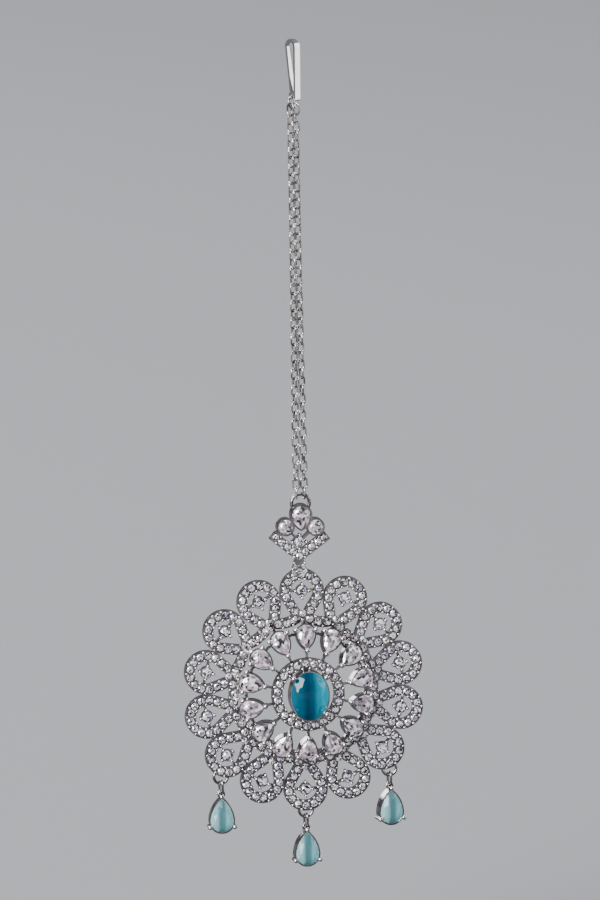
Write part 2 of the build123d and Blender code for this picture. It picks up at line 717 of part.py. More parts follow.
# ---- drops --------------------------------------------------------------------------------
drop_link_inside = drop_link_length / 2 - drop_link_wire
drop_points = [(y, -x) for x, y in pear_points(drop_radius, drop_tip, 9, 3)]
tip_up = Location((0, 0), -90)
for side, x, z, turn_out in drops:
    staple_foot = rosette_z + z - staple_radius
    link_z = staple_foot + staple_wire / 2 + drop_gap - drop_link_inside
    loop_z = link_z - drop_link_inside + drop_gap + loop_wire / 2 - loop_radius
    drop_z = loop_z - loop_radius - loop_wire / 2 + drop_bite - drop_tip - drop_tip_wall
    with BuildPart() as drop_link:
        oval_link(facing(link_z, staple_depth, x, drop_link_turn), drop_link_width,
                  drop_link_length, drop_link_wire)
    drop_link.part.label = f"drop_link_{side}"
    export_step(drop_link.part, f"parts/drop_link_{side}.step")

    with BuildPart() as drop_setting:
        with BuildSketch(drop_plane(x, drop_z, drop_back, turn_out)):
            with Locations(tip_up):
                add(drop_wall_outline.sketch)
        extrude(amount=drop_rim - drop_back)
        with BuildSketch(drop_plane(x, drop_z, drop_back, turn_out)):
            with Locations(tip_up):
                with Locations(*drop_claws):
                    Circle(drop_claw_radius)
        extrude(amount=drop_claw_front - drop_back)
        with BuildSketch(drop_plane(x, drop_z, drop_tip_claw_back, turn_out)):
            with Locations((0, drop_tip_claw_at)):
                Circle(drop_claw_radius)
        extrude(amount=drop_claw_front - drop_tip_claw_back)
        wire_loop(facing(loop_z, staple_depth, x, turn_out), loop_radius, loop_wire)
        with BuildSketch(drop_plane(x, drop_z, drop_back, turn_out)):
            with Locations(tip_up):
                add(drop_seat.sketch)
        extrude(amount=through, mode=Mode.SUBTRACT)
    drop_setting.part.label = f"drop_setting_{side}"
    export_step(drop_setting.part, f"parts/drop_setting_{side}.step")
    place_stone(f"drop_stone_{side}", drop_plane(x, drop_z, drop_girdle, turn_out), drop_points,
                domed_cut, drop_radius)
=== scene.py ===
# %% [markdown]
# # Dressing a maang tikka
# A maang tikka is a forehead jewel. A hook sits in the hair, a chain hangs from it along
# the parting, and a stone-set pendant rests on the forehead. The solids give every piece
# its size and its place. This lesson adds what the eye looks for: cut stones, pave rows,
# beads of metal, rounded claws, and finishes for silver and glass.

# %% Load the fixed frame
from math import asin, atan2, cos, degrees, floor, pi, radians, sin

import bpy
from mathutils import Matrix, Vector


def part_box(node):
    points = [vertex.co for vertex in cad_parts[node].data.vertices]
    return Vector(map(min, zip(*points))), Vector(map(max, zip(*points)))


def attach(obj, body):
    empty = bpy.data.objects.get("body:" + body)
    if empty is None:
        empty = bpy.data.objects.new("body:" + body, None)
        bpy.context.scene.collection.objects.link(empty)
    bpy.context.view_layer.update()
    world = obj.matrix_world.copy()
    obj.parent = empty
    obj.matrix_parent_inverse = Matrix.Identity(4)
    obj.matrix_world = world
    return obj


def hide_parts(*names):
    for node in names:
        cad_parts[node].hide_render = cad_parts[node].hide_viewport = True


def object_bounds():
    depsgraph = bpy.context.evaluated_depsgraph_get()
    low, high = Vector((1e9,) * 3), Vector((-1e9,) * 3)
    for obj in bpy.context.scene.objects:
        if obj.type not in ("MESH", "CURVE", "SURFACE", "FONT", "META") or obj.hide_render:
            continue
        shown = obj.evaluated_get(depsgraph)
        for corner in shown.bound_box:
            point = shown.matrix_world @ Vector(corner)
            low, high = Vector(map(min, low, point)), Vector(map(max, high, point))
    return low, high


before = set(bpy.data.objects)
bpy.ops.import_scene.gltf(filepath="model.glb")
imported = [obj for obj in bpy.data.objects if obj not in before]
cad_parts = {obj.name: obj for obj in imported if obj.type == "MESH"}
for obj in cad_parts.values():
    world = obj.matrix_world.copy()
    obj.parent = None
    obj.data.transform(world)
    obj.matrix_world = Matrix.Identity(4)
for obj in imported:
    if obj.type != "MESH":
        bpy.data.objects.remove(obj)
cad_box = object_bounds()

# %% [markdown]
# ## Measures
# Everything is in metres, so one name, `mm`, turns the jeweller's millimetres into metres.
# The centre of the rosette comes from the centre stone, and the swing axis from the joint.
# Depth is counted from the plane of the chain toward the viewer, which is -Y.

# %% Measures that the pieces share
mm = 0.001
low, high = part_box("centre_stone")
rosette_x = (low.x + high.x) / 2
rosette_z = (low.z + high.z) / 2
petal_count = 14
petal_at = 20.95 * mm
pear_at = 12.65 * mm
front = Vector((0, -1, 0))
rightward = Vector((1, 0, 0))
print("rosette centre", round(rosette_x / mm, 3), round(rosette_z / mm, 3))


def at(x, z, depth):
    """A point of the pendant from its place over the rosette's centre, in millimetres."""
    return Vector((rosette_x + x * mm, -depth * mm, rosette_z + z * mm))


# %% [markdown]
# ## Small tools
# Operators act on whatever is selected, so each piece starts with nothing selected.
# `put` places copies of one model: each copy gets its own mesh, and the copies of one kind
# are joined to one piece, as a setter counts a whole row of stones as one row.

# %% Copy and join
def nothing_selected():
    """Leave edit mode and deselect everything."""
    if bpy.context.object and bpy.context.object.mode != "OBJECT":
        bpy.ops.object.mode_set(mode="OBJECT")
    bpy.ops.object.select_all(action="DESELECT")


def place_of(origin, right, normal, size=1.0):
    """A matrix that stands a model at origin, its Z along normal and its X along right."""
    z = normal.normalized()
    x = (right - z * right.dot(z)).normalized()
    y = z.cross(x)
    turn = Matrix((x, y, z)).transposed().to_4x4()
    return Matrix.Translation(origin) @ turn @ Matrix.Scale(size, 4)


def put(model, places, name):
    """Copy the model to each place, join the copies to one piece and name it."""
    copies = []
    for place in places:
        copy = bpy.data.objects.new(name, model.data.copy())
        bpy.context.scene.collection.objects.link(copy)
        copy.data.transform(place)
        copies.append(copy)
    nothing_selected()
    for copy in copies:
        copy.select_set(True)
    bpy.context.view_layer.objects.active = copies[0]
    if len(copies) > 1:
        bpy.ops.object.join()
    piece = bpy.context.view_layer.objects.active
    piece.name = name
    piece.data.name = name
    return piece


def dress(piece, material, body):
    """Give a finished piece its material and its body."""
    piece.data.materials.clear()
    piece.data.materials.append(material)
    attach(piece, body)
    print(piece.name, len(piece.data.polygons), "faces")
    return piece


def put_away(model):
    """Remove a model once its copies are made."""
    bpy.data.objects.remove(model)


# %% [markdown]
# ## The camera
# The jewel is seen a little from the left and a little from above, through a long lens
# that keeps the rosette round. The camera looks at the chain, halfway down the jewel.

# %% Camera
view_turn = radians(-9.5)
view_rise = radians(9.5)
view_roll = radians(1.1)
distance = 2.6
sensor = 36                      # the longer side of the camera's sensor, in millimetres
view_height = 187.2 * mm         # how much of the jewel's plane the picture takes in, upright
back = Vector((sin(view_turn) * cos(view_rise), -cos(view_turn) * cos(view_rise), sin(view_rise)))
right = Vector((cos(view_turn), sin(view_turn), 0))
upward = back.cross(right)
rolled_right = right * cos(view_roll) - upward * sin(view_roll)
rolled_up = right * sin(view_roll) + upward * cos(view_roll)
aim_right, aim_up = -1.0, 50.1   # from the rosette's centre, within the picture's plane
aim = at(0, 0, 1.0) + rolled_right * aim_right * mm + rolled_up * aim_up * mm
bpy.ops.object.camera_add(location=aim + back * distance)
camera = bpy.context.object
camera.name = "studio_camera"
camera.matrix_world = Matrix.Translation(aim + back * distance) @ Matrix(
    (rolled_right, rolled_up, back)).transposed().to_4x4()
camera.data.lens = sensor * distance / view_height
camera.data.clip_end = 20
bpy.context.scene.camera = camera
print("lens", round(camera.data.lens), "mm")

# %% [markdown]
# ## Floor and light
# A polished metal shows what is round it, so the light is the larger half of its look.
# The floor is one wide sheet of pale paper, and the room beyond it looks much the same, so
# the jewel can be seen from every side. Paper and room are pale only for the camera's own
# rays. Every other ray finds them darker: silver needs dark stretches beside the bright
# ones, or it looks like chalk. Broad soft lamps stand left, right, above and behind.

# %% Studio paper
nothing_selected()
floor_z = cad_box[0][2] - 30 * mm
paper_size = 16
bpy.ops.mesh.primitive_plane_add(size=paper_size, location=(0, 0, floor_z))
paper = bpy.context.object
paper.name = "studio_paper"

paper_finish = bpy.data.materials.new("studio_paper")
paper_finish.use_nodes = True
paper_shader = paper_finish.node_tree.nodes["Principled BSDF"]
paper_shader.inputs["Roughness"].default_value = 0.9
sight = paper_finish.node_tree.nodes.new("ShaderNodeLightPath")
paper_tone = paper_finish.node_tree.nodes.new("ShaderNodeMix")
paper_tone.data_type = "RGBA"
paper_tone.inputs["A"].default_value = (0.08, 0.08, 0.085, 1)    # in the metal's mirror
paper_tone.inputs["B"].default_value = (0.30, 0.305, 0.32, 1)    # to the camera
paper_finish.node_tree.links.new(sight.outputs["Is Camera Ray"], paper_tone.inputs["Factor"])
paper_finish.node_tree.links.new(paper_tone.outputs["Result"], paper_shader.inputs["Base Color"])
paper.data.materials.append(paper_finish)


# %% Lamps and the room
def soft_lamp(name, place, power, wide, tall, colour=(1, 1, 1)):
    """A lamp with a broad face, in metres and watts, that faces the pendant."""
    bpy.ops.object.light_add(type="AREA", location=place)
    lamp = bpy.context.object
    lamp.name = name
    lamp.data.shape = "RECTANGLE"
    lamp.data.size = wide
    lamp.data.size_y = tall
    lamp.data.energy = power
    lamp.data.color = colour
    toward = aim - Vector(place)
    lamp.rotation_euler = toward.to_track_quat("-Z", "Y").to_euler()
    return lamp


nothing_selected()
soft_lamp("key_lamp", (-1.5, -1.5, 0.6), 110, 1.2, 1.5, (0.96, 0.97, 1.0))
soft_lamp("side_lamp", (1.65, -0.05, 0.3), 6, 0.6, 1.3)
soft_lamp("top_lamp", (0.2, -0.1, 1.7), 16, 1.2, 0.4)
soft_lamp("paper_lamp", (0, 0.5, 1.7), 30, 2.4, 0.8).rotation_euler = (radians(60), 0, 0)
soft_lamp("back_lamp", (-1.1, 1.9, 0.9), 30, 1.2, 1.2)

# Flats that face the viewer mirror the floor in front of them, so a glowing card lies there,
# and a small one lies where the hook's broad leg mirrors it.
card_z = floor_z + 5 * mm
for name, place, power, wide, tall in (
        ("floor_card", (0.1, -1.5, card_z), 2.2, 1.3, 2.4),
        ("hook_card", (1.15, -0.09, card_z), 1.6, 0.5, 0.5)):
    card = soft_lamp(name, place, power, wide, tall)
    card.rotation_euler = (pi, 0, 0)
    card.visible_camera = False

room = bpy.data.worlds.new("room")
bpy.context.scene.world = room
room.use_nodes = True
nodes, links = room.node_tree.nodes, room.node_tree.links
nodes.clear()
seen = nodes.new("ShaderNodeTexCoord")
height = nodes.new("ShaderNodeSeparateXYZ")
shade = nodes.new("ShaderNodeValToRGB")                          # dark below, paler above
shade.color_ramp.elements[0].position = 0.25
shade.color_ramp.elements[0].color = (0.02, 0.02, 0.022, 1)
shade.color_ramp.elements[1].position = 0.9
shade.color_ramp.elements[1].color = (0.3, 0.31, 0.34, 1)
glow = nodes.new("ShaderNodeBackground")
out = nodes.new("ShaderNodeOutputWorld")
from_floor = nodes.new("ShaderNodeMath")
from_floor.operation = "MULTIPLY_ADD"
from_floor.inputs[1].default_value = 0.5
from_floor.inputs[2].default_value = 0.5
links.new(seen.outputs["Generated"], height.inputs[0])
links.new(height.outputs["Z"], from_floor.inputs[0])
links.new(from_floor.outputs[0], shade.inputs[0])
eye = nodes.new("ShaderNodeLightPath")
backdrop = nodes.new("ShaderNodeMix")
backdrop.data_type = "RGBA"
backdrop.inputs["B"].default_value = (0.36, 0.365, 0.38, 1)
links.new(eye.outputs["Is Camera Ray"], backdrop.inputs["Factor"])
links.new(shade.outputs[0], backdrop.inputs["A"])
links.new(backdrop.outputs["Result"], glow.inputs[0])
links.new(glow.outputs[0], out.inputs[0])
print("lamps and room ready")

# %% [markdown]
# ## Finishes
# The metal is rhodium plated: nearly white, mirror bright, with fine polishing lines and a
# little less shine where fingers and skin touch. One recipe makes four silvers: the frame's
# is the darkest, with painted shade where its many small walls shade one another, the
# chain's is paler, and the hook, the beads and the claw heads are brightest. Their colour,
# shine and fine lines all rest on one effect, a mottling over the surface, so it is a node
# group.

# %% A shared effect: fine mottling
mottle = bpy.data.node_groups.new("fine_mottling", "ShaderNodeTree")
for label, kind, start in (("Scale", "NodeSocketFloat", 400.0), ("Low", "NodeSocketFloat", 0.0),
                           ("High", "NodeSocketFloat", 1.0)):
    socket = mottle.interface.new_socket(label, in_out="INPUT", socket_type=kind)
    socket.default_value = start
mottle.interface.new_socket("Value", in_out="OUTPUT", socket_type="NodeSocketFloat")
entry = mottle.nodes.new("NodeGroupInput")
leave = mottle.nodes.new("NodeGroupOutput")
where = mottle.nodes.new("ShaderNodeTexCoord")
cloud = mottle.nodes.new("ShaderNodeTexNoise")
cloud.inputs["Detail"].default_value = 3
spread = mottle.nodes.new("ShaderNodeMapRange")
spread.inputs["From Min"].default_value = 0.3
spread.inputs["From Max"].default_value = 0.7
mottle.links.new(where.outputs["Object"], cloud.inputs["Vector"])
mottle.links.new(entry.outputs["Scale"], cloud.inputs["Scale"])
mottle.links.new(cloud.outputs["Fac"], spread.inputs["Value"])
mottle.links.new(entry.outputs["Low"], spread.inputs["To Min"])
mottle.links.new(entry.outputs["High"], spread.inputs["To Max"])
mottle.links.new(spread.outputs["Result"], leave.inputs["Value"])


# %% Silver finishes
def new_finish(name):
    """A new material, its node tree and its shader."""
    finish = bpy.data.materials.new(name)
    finish.use_nodes = True
    tree = finish.node_tree
    return finish, tree, tree.nodes["Principled BSDF"]


def add_mottling(tree, scale, low_value, high_value):
    """The shared effect with this finish's own values."""
    node = tree.nodes.new("ShaderNodeGroup")
    node.node_tree = mottle
    node.inputs["Scale"].default_value = scale
    node.inputs["Low"].default_value = low_value
    node.inputs["High"].default_value = high_value
    return node


wear_finer, lines_finer = 2.3, 9     # how much finer the wear and the lines are than the tone
line_depth = 0.02


def silver(name, light, dark, shiny, rough, scale, lines):
    """Plated silver: tone varies from light to dark, roughness from shiny to rough."""
    finish, tree, shader = new_finish(name)
    shader.inputs["Metallic"].default_value = 1.0
    tone = add_mottling(tree, scale, 0, 1)
    mix = tree.nodes.new("ShaderNodeMix")
    mix.data_type = "RGBA"
    mix.inputs["A"].default_value = (*light, 1)
    mix.inputs["B"].default_value = (*dark, 1)
    tree.links.new(tone.outputs[0], mix.inputs["Factor"])
    tree.links.new(mix.outputs["Result"], shader.inputs["Base Color"])
    wear = add_mottling(tree, scale * wear_finer, shiny, rough)
    tree.links.new(wear.outputs[0], shader.inputs["Roughness"])
    grain = add_mottling(tree, scale * lines_finer, 0, 1)
    bump = tree.nodes.new("ShaderNodeBump")
    bump.inputs["Strength"].default_value = lines
    bump.inputs["Distance"].default_value = line_depth * mm
    tree.links.new(grain.outputs[0], bump.inputs["Height"])
    tree.links.new(bump.outputs["Normal"], shader.inputs["Normal"])
    return finish


# The frame's darker colour is painted shade for its crowded walls, over the silver's own mottling.
shaded_frame_silver = silver("shaded_frame_silver", (0.54, 0.51, 0.50), (0.16, 0.145, 0.145), 0.05, 0.16,
                      700, 0.2)
chain_silver = silver("chain_silver", (0.86, 0.83, 0.81), (0.20, 0.18, 0.17), 0.04, 0.12, 600, 0.15)
hook_silver = silver("hook_silver", (0.95, 0.93, 0.92), (0.82, 0.80, 0.79), 0.05, 0.11, 300, 0.05)
bead_silver = silver("bead_silver", (0.95, 0.93, 0.92), (0.62, 0.59, 0.58), 0.06, 0.14, 600, 0.1)
for name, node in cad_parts.items():
    if "stone" in name:
        continue
    finish = shaded_frame_silver
    if name.startswith("chain") or name == "hook_ring":
        finish = chain_silver
    elif name == "hair_hook":
        finish = hook_silver
    node.data.materials.clear()
    node.data.materials.append(finish)
print("silver finishes ready")

# %% [markdown]
# ## Stone finishes
# A cut stone looks alive because each facet shows another part of the room. A clear stone
# in a closed cup gets little light from behind, so a share of it is clear glass and the
# rest a bright foil seen through it. A weak painted glow stands for light that comes back
# through the stone. Each facet has its own tone, kept as an attribute on its face: painted
# dark reflections and white glints, the stone's own hue, and in some of them a hint of
# lavender, a painted glint.

# %% Stone finishes
def stone_finish(name, hues_and_glints, clear, index):
    """Cut glass: its facets take their hue and painted glints from the facet attribute."""
    finish, tree, shader = new_finish(name)
    # The facet attribute picks painted reflections and glints along with the stone's own hue.
    facet = tree.nodes.new("ShaderNodeAttribute")
    facet.attribute_name = "facet_hue_and_glint"
    ramp = tree.nodes.new("ShaderNodeValToRGB")
    ramp.color_ramp.interpolation = "CONSTANT"
    while len(ramp.color_ramp.elements) < len(hues_and_glints):
        ramp.color_ramp.elements.new(0.5)
    for element, (position, colour) in zip(ramp.color_ramp.elements, hues_and_glints):
        element.position = position
        element.color = (*colour, 1)
    tree.links.new(facet.outputs["Fac"], ramp.inputs[0])
    tree.links.new(ramp.outputs[0], shader.inputs["Base Color"])
    tree.links.new(ramp.outputs[0], shader.inputs["Emission Color"])
    # The glow is painted light in each facet's colour.
    shader.inputs["Emission Strength"].default_value = 0.35
    shader.inputs["Transmission Weight"].default_value = clear
    shader.inputs["Metallic"].default_value = 0.4
    shader.inputs["Roughness"].default_value = 0.02
    shader.inputs["IOR"].default_value = index
    return finish


# Both lists hold painted dark reflections and painted white glints beside the stones' own hue; the
# lavender of the clear stones is a painted glint.
clear_hues_and_glints = [(0.0, (0.008, 0.008, 0.01)), (0.22, (0.07, 0.065, 0.09)), (0.36, (1.0, 1.0, 1.0)),
               (0.60, (0.30, 0.28, 0.34)), (0.74, (1.0, 0.95, 1.0)), (0.92, (0.46, 0.32, 0.58))]
white_stone = stone_finish("white_stone", clear_hues_and_glints, 0.3, 2.15)
pear_hues_and_glints = [(0.0, (0.03, 0.025, 0.035)), (0.11, (0.18, 0.155, 0.19)), (0.30, (0.46, 0.42, 0.46)),
              (0.50, (1.0, 0.96, 0.98)), (0.76, (0.34, 0.29, 0.33)), (0.88, (0.80, 0.58, 0.68))]
blush_stone = stone_finish("blush_stone", pear_hues_and_glints, 0.3, 2.15)


def paint_facet_glints(piece, seed):
    """Give each facet a value between 0 and 1, which picks its colour among painted glints and the
    stone's hue, the same on every run.

    A sine blown up this far scatters its digits well, so no random draw is needed.
    """
    per_facet, per_seed, blown_up = 12.9898, 78.233, 43758.5453
    hues_and_glints = piece.data.attributes.new("facet_hue_and_glint", "FLOAT", "FACE")
    for polygon in piece.data.polygons:
        wave = sin((polygon.index + 1) * per_facet + seed * per_seed) * blown_up
        hues_and_glints.data[polygon.index].value = wave - floor(wave)


# %% [markdown]
# ## The cut
# A brilliant is cut in rings: the girdle round its waist, a ring of crown corners above
# it, the flat table on top, and the point of the pavilion below. One could build every
# facet by hand. Here the rings are laid out and a convex hull is stretched over them,
# which gives flat facets on any outline, round, oval or pear, just as a cutter's wheel
# leaves only planes. A stone that is seen singly has more belts of facets than a pave stone.

# %% Cut a stone from its outline
def ring_of(points):
    """A closed ring of edges in XY, made from a circle whose corners are moved."""
    bpy.ops.mesh.primitive_circle_add(vertices=len(points), radius=1 * mm)
    ring = bpy.context.object
    for vertex, (x, y) in zip(ring.data.vertices, points):
        vertex.co = (x * mm, y * mm, 0)
    return ring


culet_radius = 0.04
flat_enough = radians(2.5)          # planes closer than this become one facet


def cut_stone(name, points, rings, culet):
    """A stone over an outline. Each ring is (scale, rise in mm, first corner, step)."""
    nothing_selected()
    parts = []
    for scale, rise, first, step in rings:
        ring = ring_of([(x * scale, y * scale) for x, y in points[first::step]])
        ring.location.z = rise * mm
        parts.append(ring)
    bpy.ops.mesh.primitive_circle_add(vertices=3, radius=culet_radius * mm,
                                      location=(0, 0, culet * mm))
    parts.append(bpy.context.object)
    nothing_selected()
    for part in parts:
        part.select_set(True)
    bpy.context.view_layer.objects.active = parts[0]
    bpy.ops.object.transform_apply(location=True, rotation=True, scale=True)
    bpy.ops.object.join()
    stone = bpy.context.object
    stone.name = name
    bpy.ops.object.mode_set(mode="EDIT")
    bpy.ops.mesh.select_all(action="SELECT")
    bpy.ops.mesh.convex_hull()
    bpy.ops.mesh.select_all(action="SELECT")
    bpy.ops.mesh.dissolve_limited(angle_limit=flat_enough)
    bpy.ops.mesh.normals_make_consistent(inside=False)
    bpy.ops.object.mode_set(mode="OBJECT")
    bpy.ops.object.shade_flat()
    return stone


def round_points(radius, corners):
    """Corners of a round outline."""
    return [(radius * cos(2 * pi * k / corners), radius * sin(2 * pi * k / corners))
            for k in range(corners)]


def pear_points(radius, tip, round_corners, side_corners):
    """Corners of a pear outline: its tip toward -X, curved sides, its round end at +X."""
    shoulder = radians(5)
    reach = (tip ** 2 - radius ** 2) / (2 * (radius - tip * sin(shoulder)))
    side_radius = radius + reach
    start = pi / 2 + shoulder
    end = pi - asin(reach * cos(shoulder) / side_radius)
    side = []
    for corner in range(side_corners):
        angle = end + (start - end) * (corner + 1) / (side_corners + 1)
        side.append((reach * sin(shoulder) + side_radius * cos(angle),
                     -reach * cos(shoulder) + side_radius * sin(angle)))
    turns = [start * (1 - 2 * k / (round_corners - 1)) for k in range(round_corners)]
    round_end = [(radius * cos(turn), radius * sin(turn)) for turn in turns]
    return [(-tip, 0.0)] + side + round_end + [(x, -y) for x, y in reversed(side)]


plain_belts = [(0.80, 0.215, 1, 2), (0.56, 0.34, 0, 2), (0.24, 0.37, 1, 2)]
fine_belts = [(0.85, 0.19, 1, 2), (0.66, 0.30, 0, 2), (0.46, 0.345, 1, 2), (0.22, 0.37, 0, 2)]


def brilliant(name, points, radius, depth=0.72, crown=fine_belts):
    """The brilliant cut on any outline, its rises in proportion to its radius."""
    rings = [(1, 0.03, 0, 1), (1, -0.03, 0, 1), *crown, (0.6, -0.42 * depth, 1, 2)]
    rings = [(scale, rise * radius, first, step) for scale, rise, first, step in rings]
    return cut_stone(name, points, rings, -depth * radius)


# %% [markdown]
# ## The small stones of the petals
# Each of the fourteen petals frames one round stone that stands in its opening on four
# claws. The solids already hold a plain stone there. The finely cut one takes its place
# and keeps its middle and its width.

# %% Petal stones and the crown's small stone
def spoke(number):
    """The direction of one petal from the rosette's centre; the first points up."""
    angle = radians(90 - number * 360 / petal_count)
    return Vector((cos(angle), 0, sin(angle)))


def middle_of(node):
    """The middle of a node's box."""
    lower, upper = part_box(node)
    return (lower + upper) / 2


small_radius = 1.1
small_width = 0.98          # its outline, as a share of its seat's
small_girdle = 0.05
small_model = brilliant("small_model", round_points(small_radius * small_width, 16),
                        small_radius)
for number in range(petal_count):
    name = f"petal_stone_{number + 1:02d}"
    centre = middle_of(name)
    centre.y = -small_girdle * mm
    place = place_of(centre, spoke(number), front)
    stone = put(small_model, [place], f"petal_gem_{number + 1:02d}")
    paint_facet_glints(stone, number)
    dress(stone, white_stone, "pendant")
    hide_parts(name)
centre = middle_of("crown_small_stone")
centre.y = -small_girdle * mm
stone = put(small_model, [place_of(centre, rightward, front)], "crown_small_gem")
paint_facet_glints(stone, 31)
dress(stone, white_stone, "pendant")
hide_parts("crown_small_stone")
put_away(small_model)

# %% [markdown]
# ## The pears of the dome
# Fourteen pear-cut stones radiate from the centre, point inward, each leaning outward down
# the slope of the dome. One is cut and copied fourteen times.

# %% Pear stones
stone_width = 0.985         # every larger stone's outline, as a share of its seat's
pear_lean = radians(18)
pear_depth = 4.0
pear_radius = 1.88
pear_tip = 3.15
pear_outline = pear_points(pear_radius * stone_width, pear_tip * stone_width, 11, 4)
pear_model = brilliant("pear_model", pear_outline, pear_radius, 0.66)


def pear_place(number, lift=0.0, along=0.0, aside=0.0):
    """Where one pear stands: X down the slope, Z out of its table."""
    outward = spoke(number)
    normal = front * cos(pear_lean) + outward * sin(pear_lean)
    slope = outward * cos(pear_lean) - front * sin(pear_lean)
    across = normal.cross(slope)
    origin = Vector((rosette_x, 0, rosette_z)) + outward * pear_at + front * pear_depth * mm
    origin += normal * lift * mm + slope * along * mm + across * aside * mm
    return place_of(origin, slope, normal)


for number in range(petal_count):
    stone = put(pear_model, [pear_place(number)], f"pear_gem_{number + 1:02d}")
    paint_facet_glints(stone, 50 + number * 3)
    dress(stone, blush_stone, "pendant")
    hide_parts(f"pear_stone_{number + 1:02d}")
put_away(pear_model)

# %% [markdown]
# ## The crown's stones
# Above the rosette a small crown carries a pear between two rounds, all three in smooth
# bezels. They stand proud of the rosette, and the crown leans with its V, whose point
# stands a little to one side.

# %% Crown stones
point_aside, point_up, bail_over_point = 0.45, 26.95, 12.58
crown_lean = atan2(point_aside, bail_over_point)
crown_right = Vector((cos(crown_lean), 0, -sin(crown_lean)))
crown_up = Vector((sin(crown_lean), 0, cos(crown_lean)))
crown_point = at(-point_aside, point_up, 0)


def on_crown(x, y, depth):
    """A point of the crown: x and y within its leaning plane, depth toward the viewer."""
    return crown_point + (crown_right * x + crown_up * y + front * depth) * mm


round_radius = 1.55
round_aside, round_up, round_depth = 3.15, 7.62, 1.05
round_model = brilliant("round_model", round_points(round_radius * stone_width, 20),
                        round_radius, 0.7)
for side, x in (("left", -round_aside), ("right", round_aside)):
    place = place_of(on_crown(x, round_up, round_depth), crown_right, front)
    stone = put(round_model, [place], f"crown_{side}_gem")
    paint_facet_glints(stone, 80 + x)
    dress(stone, blush_stone, "pendant")
    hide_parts(f"crown_{side}_stone")
put_away(round_model)

top_radius, top_tip = 1.95, 2.95
top_up, top_depth = 10.25, 1.6
top_outline = pear_points(top_radius * stone_width, top_tip * stone_width, 13, 5)
crown_pear_model = brilliant("crown_pear_model", top_outline, top_radius, 0.54)
place = place_of(on_crown(0, top_up, top_depth), crown_up, front)
stone = put(crown_pear_model, [place], "crown_pear_gem")
paint_facet_glints(stone, 91)
dress(stone, blush_stone, "pendant")
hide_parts("crown_pear_stone")
put_away(crown_pear_model)

# %% [markdown]
# ## Pave rows
# Pave stones sit in a channel, each held by tiny beads of metal that a setter raises from
# the edges. The stones follow the channel's middle line at an even pitch, and the beads
# stand in pairs between them. One stone and one bead are modelled, and their places are
# worked out from the same arcs and lines as the channel.

# %% One pave stone and one bead
pave_radius = 0.73
bead_radius = 0.31
bead_cut, bead_root = 0.1, 0.2      # the ball is cut this far below its middle, then drawn down
pave_model = brilliant("pave_model", round_points(pave_radius, 12), pave_radius, 0.6,
                       plain_belts)
nothing_selected()
bpy.ops.mesh.primitive_uv_sphere_add(segments=10, ring_count=6, radius=bead_radius * mm)
bead_model = bpy.context.object
bpy.ops.object.mode_set(mode="EDIT")
bpy.ops.mesh.select_all(action="SELECT")
bpy.ops.mesh.bisect(plane_co=(0, 0, -bead_cut * mm), plane_no=(0, 0, 1), use_fill=True,
                    clear_inner=True)
bpy.ops.mesh.extrude_region_move(TRANSFORM_OT_translate={"value": (0, 0, -bead_root * mm)})
bpy.ops.mesh.select_all(action="SELECT")
bpy.ops.mesh.normals_make_consistent(inside=False)
bpy.ops.object.mode_set(mode="OBJECT")
bpy.ops.object.shade_smooth_by_angle(angle=radians(60))
print("pave stone", len(pave_model.data.polygons), "faces, bead",
      len(bead_model.data.polygons), "faces")

# %% Places along a row
stone_depth, bead_depth = 0.12, 0.24    # of the rows on the flat of the rosette
bead_aside = 0.86                       # from the middle line of a row to its beads


def row_places(steps, depth=0.0, closed=False):
    """Places for a row, depth in front of the flat. Each step is (x, z, heading in degrees)."""
    stones, beads = [], []
    for index, (x, z, heading) in enumerate(steps):
        along = Vector((cos(radians(heading)), 0, sin(radians(heading))))
        stones.append(place_of(at(x, z, stone_depth + depth), along, front))
        last = index == len(steps) - 1
        if last and not closed:
            continue
        next_x, next_z, _ = steps[(index + 1) % len(steps)]
        between = Vector(((x + next_x) / 2, 0, (z + next_z) / 2))
        chord = Vector((next_x - x, 0, next_z - z)).normalized()
        aside = Vector((chord.z, 0, -chord.x))
        for sign in (1, -1):
            spot = between + aside * sign * bead_aside
            beads.append(place_of(at(spot.x, spot.z, bead_depth + depth), along, front))
    return stones, beads


# %% [markdown]
# A petal's row runs up one straight side, round the outer end and down the other side.

# %% Petal rows
petal_line = 3.56
petal_tip_line = 1.56
petal_spread = 3.8
petal_pitch = 1.71
petal_stones = 13
petal_slant = asin((petal_line - petal_tip_line) / petal_spread)


def petal_point(distance):
    """A point of the petal's middle line, this far from its outermost point, and its heading."""
    sign = 1 if distance >= 0 else -1
    run = abs(distance)
    arc = petal_line * (pi / 2 + petal_slant)
    if run <= arc:
        angle = run / petal_line
        x, y = petal_line * cos(angle), petal_line * sin(angle)
        heading = degrees(angle) + 90
    else:
        rest = run - arc
        x = -petal_line * sin(petal_slant) - rest * cos(petal_slant)
        y = petal_line * cos(petal_slant) - rest * sin(petal_slant)
        heading = 180 + degrees(petal_slant)
    return x, sign * y, sign * heading


pave_places, bead_places = [], []
for number in range(petal_count):
    turn = 90 - number * 360 / petal_count
    c, s = cos(radians(turn)), sin(radians(turn))
    steps = []
    for k in range(petal_stones):
        x, y, heading = petal_point((k - (petal_stones - 1) / 2) * petal_pitch)
        x += petal_at / mm
        steps.append((x * c - y * s, x * s + y * c, heading + turn))
    stones, beads = row_places(steps)
    pave_places += stones
    bead_places += beads
petal_pave = put(pave_model, pave_places, "petal_pave")
paint_facet_glints(petal_pave, 5)
dress(petal_pave, white_stone, "pendant")
petal_beads = put(bead_model, bead_places, "petal_beads")
dress(petal_beads, bead_silver, "pendant")

# %% [markdown]
# Scalloped rows join the petals on the inside, with one stone shared at each petal's foot.

